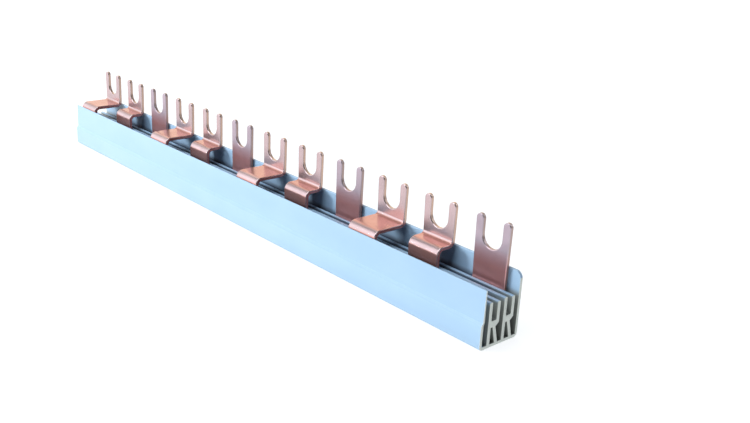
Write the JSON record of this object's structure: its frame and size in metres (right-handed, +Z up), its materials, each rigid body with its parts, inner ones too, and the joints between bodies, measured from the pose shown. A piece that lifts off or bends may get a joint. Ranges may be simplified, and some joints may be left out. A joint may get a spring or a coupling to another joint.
{
  "type": "comb busbar",
  "caption": "Three-phase comb busbar: open extruded insulating channel holding punched and bent copper bars with U forks for a row of circuit breakers.",
  "frame": {"origin": "middle of the bottom face, on the surface the busbar stands on", "axes": "+X along the row of forks towards the picture's near end, +Y from the low front wall to the tall back wall, +Z up along the forks"},
  "size_m": [0.216, 0.0138, 0.0285],
  "materials": {
    "pale_plastic": "smooth extruded rigid PVC, pale blue-white, satin",
    "copper": "bare punched copper strip with a soft sheen and rounded edges"
  },
  "bodies": {
    "root": {"insulating_profile": "pale_plastic", "front_phase_bar": "copper", "middle_phase_bar": "copper", "rear_phase_bar": "copper"}
  },
  "joints": []
}
